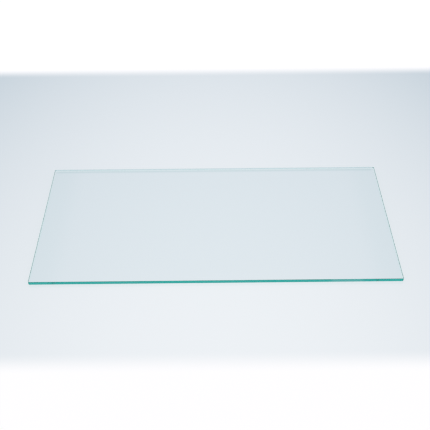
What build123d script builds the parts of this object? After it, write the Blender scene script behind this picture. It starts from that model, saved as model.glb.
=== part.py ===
from build123d import *

import os

# Refrigerator shelf: one rectangular pane of toughened float glass.
# The pane lies flat, +Z up, with its origin at the middle of the underside. X runs along
# the front edge and Y from front to back. All four edges are ground flat, the corners are
# slightly rounded in plan, and a fine arris takes the sharpness off the upper and lower rims.

# Driving dimensions, in millimetres
PANE_WIDTH = 425.0  # along the front edge, from one side wall of the cabinet to the other
PANE_DEPTH = 219.0  # from the front edge to the back edge
GLASS_THICKNESS = 4.0  # stock float glass
CORNER_RADIUS = 2.0  # ground corners, seen from above
ARRIS_LEG = 0.2  # each leg of the 45 degree arris on a rim


def cut_blank() -> Part:
    """The pane as cut, with rounded corners and square rims."""
    outline = RectangleRounded(PANE_WIDTH, PANE_DEPTH, CORNER_RADIUS)
    return extrude(outline, amount=GLASS_THICKNESS)


def with_arrises(blank: Part) -> Part:
    """Grinds the arris right round the lower and the upper rim, corners included."""
    faces_upwards = blank.faces().sort_by(Axis.Z)
    underside = faces_upwards[0]
    top_face = faces_upwards[-1]
    return chamfer(underside.edges() + top_face.edges(), ARRIS_LEG)


glass_pane = with_arrises(cut_blank())

os.makedirs("parts", exist_ok=True)
export_step(glass_pane, "parts/glass_pane.step")
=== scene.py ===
import math

import bmesh
import bpy
from mathutils import Matrix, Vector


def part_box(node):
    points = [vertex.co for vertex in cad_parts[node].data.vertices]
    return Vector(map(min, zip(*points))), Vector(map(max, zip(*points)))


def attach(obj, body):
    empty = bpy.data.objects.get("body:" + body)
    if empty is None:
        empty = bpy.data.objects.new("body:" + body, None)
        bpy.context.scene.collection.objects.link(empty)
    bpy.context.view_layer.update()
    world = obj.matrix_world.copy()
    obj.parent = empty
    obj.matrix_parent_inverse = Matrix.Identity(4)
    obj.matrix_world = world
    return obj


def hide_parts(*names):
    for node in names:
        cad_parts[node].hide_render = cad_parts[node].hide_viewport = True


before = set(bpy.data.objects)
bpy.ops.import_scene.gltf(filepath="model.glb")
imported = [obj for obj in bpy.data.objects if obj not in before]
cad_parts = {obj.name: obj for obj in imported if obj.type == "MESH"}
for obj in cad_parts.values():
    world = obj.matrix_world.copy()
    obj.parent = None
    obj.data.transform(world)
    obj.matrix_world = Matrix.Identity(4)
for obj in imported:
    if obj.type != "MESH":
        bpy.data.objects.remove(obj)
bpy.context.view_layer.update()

# Sizes of the pane, in metres: the overall ones are read from the glass_pane part in model.glb
pane_low, pane_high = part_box("glass_pane")
HALF_WIDTH = (pane_high.x - pane_low.x) / 2
HALF_DEPTH = (pane_high.y - pane_low.y) / 2
THICKNESS = pane_high.z - pane_low.z
CORNER_RADIUS = 0.002  # the ground corners, seen from above
ARRIS_LEG = 0.0002  # each leg of the arris on a rim
EASE = 0.00005  # how far each corner of the edge's section is softened
EASE_STEPS = 4
CORNER_STEPS = 24

# Colour that the glass, the table and the backdrop share
WHITE = (1.0, 1.0, 1.0)

# Glass
GLASS_IOR = 1.52
ABSORPTION_PER_M = (15.2, 2.82, 3.48)
EDGE_COLOUR = (0.5, 0.99, 0.97)  # tint of the ground edges
EDGE_COLOUR_PALE = (0.62, 1.0, 0.99)  # and where it is palest
EDGE_ROUGHNESS = 0.12
CORNER_ROUGHNESS = 0.6  # the corners are ground by hand, so they are duller
CORNER_START = 0.02  # the product of a normal's two level parts at which a corner begins
CORNER_FULL = 0.2  # and at which it is at its dullest
ROUGHNESS_SPREAD = 0.35  # how far the grind lifts and lowers the roughness, as a share of it
GROUND_TILT = 0.80  # the upward part of a normal at which the surface is all ground edge
POLISHED_TILT = 0.95  # and at which it is all polished face
GRIND_ALONG = 30.0  # streaks per metre along an edge
GRIND_ACROSS = 3000.0  # and across it
GRIND_DETAIL = 2.0
TINT_PATCHES = 14.0  # slow changes of tint per metre
TINT_DETAIL = 1.0
MATT_MIDDLE = 0.1485  # across the pane, the middle of a matt stretch of the front edge
MATT_FULL = 0.0135  # half the length that is fully matt
MATT_END = 0.0225  # and half the length to where it has faded out
MATT_SHARE = 0.22  # the share of light that it scatters

# Camera
CAMERA_PLACE = (-0.00242, -0.8025, 0.64819)
CAMERA_PITCH_DOWN = math.radians(38.4352)
CAMERA_YAW_RIGHT = math.radians(0.1568)
CAMERA_ROLL = math.radians(-0.4518)
LENS_MM = 70.0
SENSOR_MM = 36.0
FILTER_WIDTH = 1.3  # in pixels
BOUNCES = 96

# Table, in metres and linear colours
FLOOR_DROP = 0.0002  # the gap under the front edge
FLOOR_DROP_BACK = 0.00087  # and under the back edge
FLOOR_HALF = 6.0
# A pool of light painted on the table: palest in its middle, greyer away from it
FLOOR_NEAR = (0.848, 0.888, 0.907)  # in the middle of the pool
FLOOR_FAR = (0.536, 0.619, 0.67)  # one pool radius away
PAINTED_POOL_MIDDLE = (0.003, -0.306, 0.0)
PAINTED_POOL_RADIUS = 0.509  # across the pane
PAINTED_POOL_STRETCH = 0.555  # that radius as a share of the one from front to back
TABLE_FRONT = -0.212  # where the table's colour begins to turn to white, in front of the pane
TABLE_BACK = 0.3685  # behind it
TABLE_SIDE = 0.45  # and to either side of it
TABLE_FADE = 0.03  # how far it takes to turn
FLOOR_GLOW = 0.85  # the share of the table's colour that it gives off by itself
FLOOR_ROUGHNESS = 0.15
FLOOR_SPECULAR = 0.5

# Shade on the table: faint under the whole pane, deeper under its back edge, ends and front rim
# The lengths are distances from the edge in question, outward where the name says out
SHADE_SOFT = 0.002
SHADE_COLOUR = (0.954, 0.941, 0.955)
BACK_SHADE_OUT = 0.0015
BACK_SHADE_FULL = 0.002
BACK_SHADE_IN = 0.0068
BACK_SHADE_CORNER = 0.006
BACK_SHADE_COLOUR = (0.84, 0.91, 0.904)
END_SHADE_FULL = 0.013
END_SHADE_IN = 0.045
END_SHADE_COLOUR = (0.964, 0.981, 0.981)
END_LINE_FULL = 0.0006
END_LINE_IN = 0.003
END_LINE_FADE = 0.08
END_LINE_COLOUR = (0.94, 0.988, 0.988)
FRONT_LINE_OUT = 0.0004
FRONT_LINE_IN = 0.0008
FRONT_LINE_COLOUR = (0.92, 0.96, 0.97)

# Light
WORLD_HORIZON = 0.8  # strength at eye level
WORLD_ZENITH = 1.0  # and overhead
WORLD_POWER = 8.0  # how close to overhead the rise is kept
WORLD_COLOUR = (0.94, 0.9, 1.0)


def rgba(colour):
    return (*colour, 1.0)


def feed(tree, socket, value):
    """Links a socket to another one, or sets it to a plain value."""
    if isinstance(value, bpy.types.NodeSocket):
        tree.links.new(value, socket)
    else:
        socket.default_value = value


def calculate(tree, operation, *values):
    """The result of a math node on sockets or plain numbers."""
    node = tree.nodes.new("ShaderNodeMath")
    node.operation = operation
    for socket, value in zip(node.inputs, values):
        feed(tree, socket, value)
    return node.outputs["Value"]


def slope(tree, value, start, end):
    """A smooth rise from 0, where the value is start, to 1, where it is end."""
    node = tree.nodes.new("ShaderNodeMapRange")
    node.interpolation_type = "SMOOTHSTEP"
    feed(tree, node.inputs["Value"], value)
    node.inputs["From Min"].default_value = start
    node.inputs["From Max"].default_value = end
    return node.outputs["Result"]


def hump(tree, value, start, top, end):
    """A smooth rise from 0 at start to 1 at top, and back to 0 at end."""
    return calculate(tree, "MULTIPLY", slope(tree, value, start, top), slope(tree, value, end, top))


def blend(tree, factor, first, second, mode="MIX"):
    """Two colours blended by a factor."""
    node = tree.nodes.new("ShaderNodeMix")
    node.data_type = "RGBA"
    node.blend_type = mode
    for name, value in (("Factor", factor), ("A", first), ("B", second)):
        feed(tree, node.inputs[name], value)
    return node.outputs["Result"]


def axes_of(tree, vector):
    node = tree.nodes.new("ShaderNodeSeparateXYZ")
    tree.links.new(vector, node.inputs["Vector"])
    return node.outputs


def noise(tree, place, scale, detail):
    """Noise over a place, with its own scale along each axis."""
    stretch = tree.nodes.new("ShaderNodeMapping")
    stretch.inputs["Scale"].default_value = scale
    tree.links.new(place, stretch.inputs["Vector"])
    node = tree.nodes.new("ShaderNodeTexNoise")
    node.inputs["Scale"].default_value = 1.0
    node.inputs["Detail"].default_value = detail
    tree.links.new(stretch.outputs["Vector"], node.inputs["Vector"])
    return node.outputs["Fac"]


def softened(profile):
    """The profile with each inner corner replaced by a small curve."""
    points = [profile[0]]
    for before, corner, after in zip(profile, profile[1:], profile[2:]):
        starts = []
        for other in (before, after):
            run = math.dist(corner, other)
            share = min(EASE, run / 2) / run
            starts.append([c + (o - c) * share for c, o in zip(corner, other)])
        for step in range(EASE_STEPS + 1):
            t = step / EASE_STEPS
            points.append([
                (1 - t) ** 2 * a + 2 * t * (1 - t) * c + t ** 2 * b
                for a, c, b in zip(starts[0], corner, starts[1])
            ])
    points.append(profile[-1])
    return points


def ring(inset):
    """Points of the pane's outline, moved in by inset, counter-clockwise from above."""
    radius = CORNER_RADIUS - inset
    points = []
    for quarter, (side_x, side_y) in enumerate(((1, 1), (-1, 1), (-1, -1), (1, -1))):
        centre_x = side_x * (HALF_WIDTH - CORNER_RADIUS)
        centre_y = side_y * (HALF_DEPTH - CORNER_RADIUS)
        for step in range(CORNER_STEPS + 1):
            angle = (quarter + step / CORNER_STEPS) * math.pi / 2
            points.append((centre_x + radius * math.cos(angle), centre_y + radius * math.sin(angle)))
    return points


def edge_section():
    """Points of the edge's section from the underside to the top face, as (inset, height)."""
    flat_start = 2 * ARRIS_LEG
    return softened([
        (flat_start, 0.0),
        (ARRIS_LEG, 0.0),
        (0.0, ARRIS_LEG),
        (0.0, THICKNESS - ARRIS_LEG),
        (ARRIS_LEG, THICKNESS),
        (flat_start, THICKNESS),
    ])


def build_pane():
    """The whole pane: two flat faces joined by a ground band with an arris above and below it."""
    section = edge_section()
    bm = bmesh.new()
    loops = [[bm.verts.new((x, y, z)) for x, y in ring(inset)] for inset, z in section]
    count = len(loops[0])
    for lower, upper in zip(loops, loops[1:]):
        for i in range(count):
            j = (i + 1) % count
            face = bm.faces.new((lower[i], lower[j], upper[j], upper[i]))
            face.smooth = True
    bm.faces.new(list(reversed(loops[0])))
    bm.faces.new(loops[-1])
    mesh = bpy.data.meshes.new("glass_shelf")
    bm.to_mesh(mesh)
    bm.free()
    pane = bpy.data.objects.new("glass_shelf", mesh)
    bpy.context.scene.collection.objects.link(pane)
    return pane


def float_glass():
    """Float glass: clear faces, streaky ground edges with one matt stretch, a body that absorbs red most."""
    material = bpy.data.materials.new("float_glass")
    material.use_nodes = True
    tree = material.node_tree
    shader = tree.nodes["Principled BSDF"]
    shader.inputs["IOR"].default_value = GLASS_IOR

    normal = axes_of(tree, tree.nodes.new("ShaderNodeNewGeometry").outputs["Normal"])
    upward = calculate(tree, "ABSOLUTE", normal["Z"])
    ground = slope(tree, upward, POLISHED_TILT, GROUND_TILT)
    turned = calculate(tree, "ABSOLUTE", calculate(tree, "MULTIPLY", normal["X"], normal["Y"]))
    corner = slope(tree, turned, CORNER_START, CORNER_FULL)

    place = tree.nodes.new("ShaderNodeTexCoord").outputs["Object"]
    patches = noise(tree, place, (TINT_PATCHES,) * 3, TINT_DETAIL)
    edge_tint = blend(tree, patches, rgba(EDGE_COLOUR), rgba(EDGE_COLOUR_PALE))
    tint = blend(tree, ground, rgba(WHITE), edge_tint)
    feed(tree, shader.inputs["Base Color"], tint)

    streaks = noise(tree, place, (GRIND_ALONG, GRIND_ALONG, GRIND_ACROSS), GRIND_DETAIL)
    grind = calculate(tree, "MULTIPLY_ADD", streaks, 2 * ROUGHNESS_SPREAD, 1 - ROUGHNESS_SPREAD)
    dullness = calculate(tree, "MULTIPLY_ADD", corner, CORNER_ROUGHNESS - EDGE_ROUGHNESS, EDGE_ROUGHNESS)
    roughness = calculate(tree, "MULTIPLY", calculate(tree, "MULTIPLY", grind, dullness), ground)
    feed(tree, shader.inputs["Roughness"], roughness)

    spot = axes_of(tree, place)
    from_middle = calculate(tree, "ABSOLUTE", calculate(tree, "SUBTRACT", spot["X"], MATT_MIDDLE))
    stretch = slope(tree, from_middle, MATT_END, MATT_FULL)
    at_front = calculate(tree, "LESS_THAN", spot["Y"], 0.0)
    matt = calculate(tree, "MULTIPLY", calculate(tree, "MULTIPLY", stretch, at_front), ground)
    clear = calculate(tree, "MULTIPLY_ADD", matt, -MATT_SHARE, 1.0)
    feed(tree, shader.inputs["Transmission Weight"], clear)

    body = tree.nodes.new("ShaderNodeVolumeAbsorption")
    density = max(ABSORPTION_PER_M)
    body.inputs["Density"].default_value = density
    body.inputs["Color"].default_value = rgba(1 - a / density for a in ABSORPTION_PER_M)
    tree.links.new(body.outputs["Volume"], tree.nodes["Material Output"].inputs["Volume"])
    return material


def painted_light_pool(tree, place):
    """The table's colour: a painted pool of light, palest in front of the pane and greyer away from it, and
    white beyond.
    """
    pool = tree.nodes.new("ShaderNodeMapping")
    pool.vector_type = "TEXTURE"
    pool.inputs["Location"].default_value = PAINTED_POOL_MIDDLE
    pool.inputs["Scale"].default_value = (PAINTED_POOL_RADIUS, PAINTED_POOL_RADIUS / PAINTED_POOL_STRETCH, 1)
    tree.links.new(place, pool.inputs["Vector"])
    away = tree.nodes.new("ShaderNodeVectorMath")
    away.operation = "DOT_PRODUCT"
    for socket in away.inputs[:2]:
        tree.links.new(pool.outputs["Vector"], socket)
    table = blend(tree, away.outputs["Value"], rgba(FLOOR_NEAR), rgba(FLOOR_FAR))
    axes = axes_of(tree, place)
    behind = slope(tree, axes["Y"], TABLE_BACK, TABLE_BACK + TABLE_FADE)
    before = slope(tree, axes["Y"], TABLE_FRONT, TABLE_FRONT - TABLE_FADE)
    beside = slope(tree, calculate(tree, "ABSOLUTE", axes["X"]), TABLE_SIDE, TABLE_SIDE + TABLE_FADE)
    beyond = calculate(tree, "MAXIMUM", calculate(tree, "MAXIMUM", behind, before), beside)
    return blend(tree, beyond, table, rgba(WHITE))


def shaded_colour(tree, place, colour):
    """The table's colour with the shade that lies on it under the pane."""
    axes = axes_of(tree, place)
    from_front = calculate(tree, "ADD", HALF_DEPTH, axes["Y"])
    from_back = calculate(tree, "SUBTRACT", HALF_DEPTH, axes["Y"])
    from_end = calculate(tree, "SUBTRACT", HALF_WIDTH, calculate(tree, "ABSOLUTE", axes["X"]))
    inset = calculate(tree, "MINIMUM", calculate(tree, "MINIMUM", from_front, from_back), from_end)
    under = slope(tree, inset, 0.0, SHADE_SOFT)

    back = hump(tree, from_back, -BACK_SHADE_OUT, BACK_SHADE_FULL, BACK_SHADE_IN)
    back = calculate(tree, "MULTIPLY", back, slope(tree, from_end, 0.0, BACK_SHADE_CORNER))
    ends = calculate(tree, "MULTIPLY", under, slope(tree, from_end, END_SHADE_IN, END_SHADE_FULL))
    line = hump(tree, from_end, 0.0, END_LINE_FULL, END_LINE_IN)
    line = calculate(tree, "MULTIPLY", line, slope(tree, from_front, 0.0, SHADE_SOFT))
    line = calculate(tree, "MULTIPLY", line, slope(tree, from_back, 0.0, END_LINE_FADE))
    front = hump(tree, from_front, -FRONT_LINE_OUT, 0.0, FRONT_LINE_IN)
    front = calculate(tree, "MULTIPLY", front, slope(tree, from_end, 0.0, SHADE_SOFT))

    for factor, shade in (
        (under, SHADE_COLOUR), (back, BACK_SHADE_COLOUR), (ends, END_SHADE_COLOUR),
        (line, END_LINE_COLOUR), (front, FRONT_LINE_COLOUR),
    ):
        colour = blend(tree, factor, colour, rgba(shade), "MULTIPLY")
    return colour


def pale_table():
    """A pale table with a painted pool of light and painted shade, that mostly glows by itself where it is
    seen, so the pane's shadow stays soft.
    """
    material = bpy.data.materials.new("floor_pale")
    material.use_nodes = True
    tree = material.node_tree
    shader = tree.nodes["Principled BSDF"]
    shader.inputs["Roughness"].default_value = FLOOR_ROUGHNESS
    shader.inputs["Specular IOR Level"].default_value = FLOOR_SPECULAR
    place = tree.nodes.new("ShaderNodeNewGeometry").outputs["Position"]
    # The table's colour is a painted pool of light with painted shade laid over it
    colour = shaded_colour(tree, place, painted_light_pool(tree, place))
    lit_share = 1 - FLOOR_GLOW
    feed(tree, shader.inputs["Base Color"], blend(tree, 1.0, colour, rgba((lit_share,) * 3), "MULTIPLY"))
    feed(tree, shader.inputs["Emission Color"], colour)
    path = tree.nodes.new("ShaderNodeLightPath").outputs
    mirrored = calculate(tree, "MAXIMUM", path["Is Glossy Ray"], path["Is Transmission Ray"])
    seen = calculate(tree, "MAXIMUM", path["Is Camera Ray"], mirrored)
    feed(tree, shader.inputs["Emission Strength"], calculate(tree, "MULTIPLY", seen, FLOOR_GLOW))
    return material


def build_floor():
    """A wide table a hair under the pane, falling slightly to the back, so that air lies between them."""
    tilt = math.atan((FLOOR_DROP_BACK - FLOOR_DROP) / (2 * HALF_DEPTH))
    bpy.ops.mesh.primitive_plane_add(
        size=2 * FLOOR_HALF, location=(0, 0, -(FLOOR_DROP + FLOOR_DROP_BACK) / 2), rotation=(-tilt, 0, 0)
    )
    floor = bpy.context.object
    floor.name = "floor"
    floor.data.materials.append(pale_table())


def light_scene():
    """A soft studio all round, brighter overhead; to the camera alone it is plain white."""
    world = bpy.data.worlds.new("studio")
    bpy.context.scene.world = world
    world.use_nodes = True
    tree = world.node_tree
    sky = tree.nodes["Background"]
    sky.inputs["Color"].default_value = rgba(WORLD_COLOUR)
    direction = tree.nodes.new("ShaderNodeTexCoord").outputs["Generated"]
    height = calculate(tree, "MAXIMUM", axes_of(tree, direction)["Z"], 0.0)
    bend = calculate(tree, "POWER", height, WORLD_POWER)
    level = calculate(tree, "MULTIPLY_ADD", bend, WORLD_ZENITH - WORLD_HORIZON, WORLD_HORIZON)
    feed(tree, sky.inputs["Strength"], level)

    backdrop = tree.nodes.new("ShaderNodeBackground")
    backdrop.inputs["Color"].default_value = rgba(WHITE)
    choice = tree.nodes.new("ShaderNodeMixShader")
    path = tree.nodes.new("ShaderNodeLightPath").outputs
    tree.links.new(path["Is Camera Ray"], choice.inputs[0])
    tree.links.new(sky.outputs[0], choice.inputs[1])
    tree.links.new(backdrop.outputs[0], choice.inputs[2])
    tree.links.new(choice.outputs[0], tree.nodes["World Output"].inputs["Surface"])


def build_camera():
    data = bpy.data.cameras.new("camera")
    data.lens = LENS_MM
    data.sensor_width = SENSOR_MM
    camera = bpy.data.objects.new("camera", data)
    camera.matrix_world = (
        Matrix.Translation(CAMERA_PLACE)
        @ Matrix.Rotation(-CAMERA_YAW_RIGHT, 4, "Z")
        @ Matrix.Rotation(math.pi / 2 - CAMERA_PITCH_DOWN, 4, "X")
        @ Matrix.Rotation(CAMERA_ROLL, 4, "Z")
    )
    bpy.context.scene.collection.objects.link(camera)
    bpy.context.scene.camera = camera


def trace_settings():
    """Enough bounces for light that zigzags through the pane from edge to edge."""
    scene = bpy.context.scene
    scene.view_settings.view_transform = "Standard"
    scene.cycles.min_light_bounces = BOUNCES
    scene.cycles.max_bounces = BOUNCES
    scene.cycles.glossy_bounces = BOUNCES
    scene.cycles.transmission_bounces = BOUNCES
    scene.cycles.blur_glossy = 0.0
    scene.cycles.filter_width = FILTER_WIDTH


pane = build_pane()
pane.data.materials.append(float_glass())
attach(pane, "root")
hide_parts("glass_pane")
build_floor()
light_scene()
build_camera()
trace_settings()
